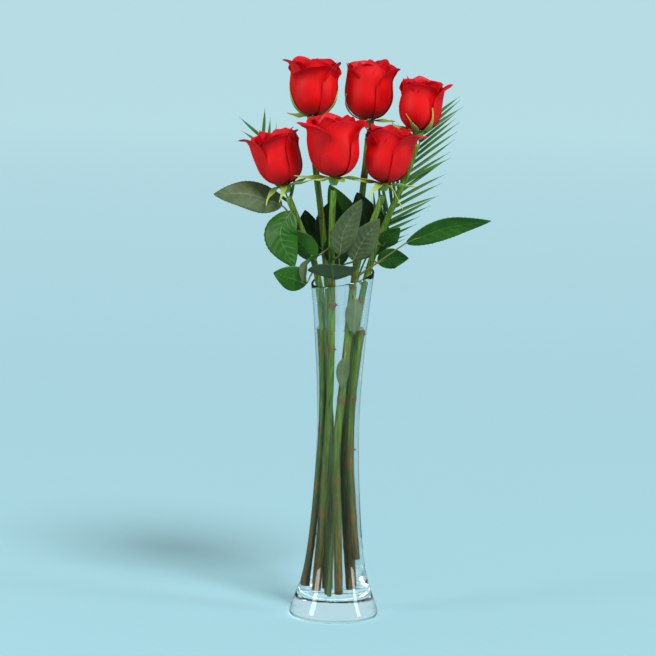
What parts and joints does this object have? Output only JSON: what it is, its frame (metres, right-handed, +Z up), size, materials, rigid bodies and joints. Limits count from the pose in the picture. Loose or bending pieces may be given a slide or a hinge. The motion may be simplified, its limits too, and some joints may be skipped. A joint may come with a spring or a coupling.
{
  "type": "roses in a vase",
  "caption": "Red roses with leaves and palm fronds standing in a tall, clear glass vase with a narrow waist and a sloping rim, for decorating a table.",
  "frame": {"origin": "centre of the vase's flat foot, on the surface that the vase stands on", "axes": "+Z up along the vase; -Y is the front of the arrangement, where the rim is lower on the left; +X is to the right seen from the front"},
  "size_m": [0.2562, 0.1123, 0.5201],
  "materials": {
    "clear_glass": "polished",
    "petal": "matte",
    "calyx": "satin",
    "rose_stem": "satin",
    "rose_leaf": "satin",
    "palm_leaf": "satin"
  },
  "bodies": {
    "root": {"vase": "clear_glass", "back_left_stem": "rose_stem", "back_left_calyx": "calyx", "back_left_heart": "petal", "back_left_petal_1": "petal", "back_left_petal_2": "petal", "back_left_petal_3": "petal", "back_left_petal_4": "petal", "back_middle_stem": "rose_stem", "back_middle_calyx": "calyx", "back_middle_heart": "petal", "back_middle_petal_1": "petal", "back_middle_petal_2": "petal", "back_middle_petal_3": "petal", "back_middle_petal_4": "petal", "back_right_stem": "rose_stem", "back_right_calyx": "calyx", "back_right_heart": "petal", "back_right_petal_1": "petal", "back_right_petal_2": "petal", "back_right_petal_3": "petal", "back_right_petal_4": "petal", "front_left_stem": "rose_stem", "front_left_calyx": "calyx", "front_left_heart": "petal", "front_left_petal_1": "petal", "front_left_petal_2": "petal", "front_left_petal_3": "petal", "front_left_petal_4": "petal", "front_middle_stem": "rose_stem", "front_middle_calyx": "calyx", "front_middle_heart": "petal", "front_middle_petal_1": "petal", "front_middle_petal_2": "petal", "front_middle_petal_3": "petal", "front_middle_petal_4": "petal", "front_right_stem": "rose_stem", "front_right_calyx": "calyx", "front_right_heart": "petal", "front_right_petal_1": "petal", "front_right_petal_2": "petal", "front_right_petal_3": "petal", "front_right_petal_4": "petal", "leaf_far_left": "rose_leaf", "leaf_hanging_left": "rose_leaf", "leaf_low_left": "rose_leaf", "leaf_dark_left": "rose_leaf", "leaf_curled": "rose_leaf", "leaf_over_rim": "rose_leaf", "leaf_front_upright": "rose_leaf", "leaf_centre_right": "rose_leaf", "leaf_right_upper": "rose_leaf", "leaf_right_lower": "rose_leaf", "leaf_far_right": "rose_leaf", "leaf_inside_mouth": "rose_leaf", "leaf_in_water": "rose_leaf", "leaf_behind": "rose_leaf", "palm_frond_left": "palm_leaf", "palm_frond_right": "palm_leaf"}
  },
  "joints": []
}
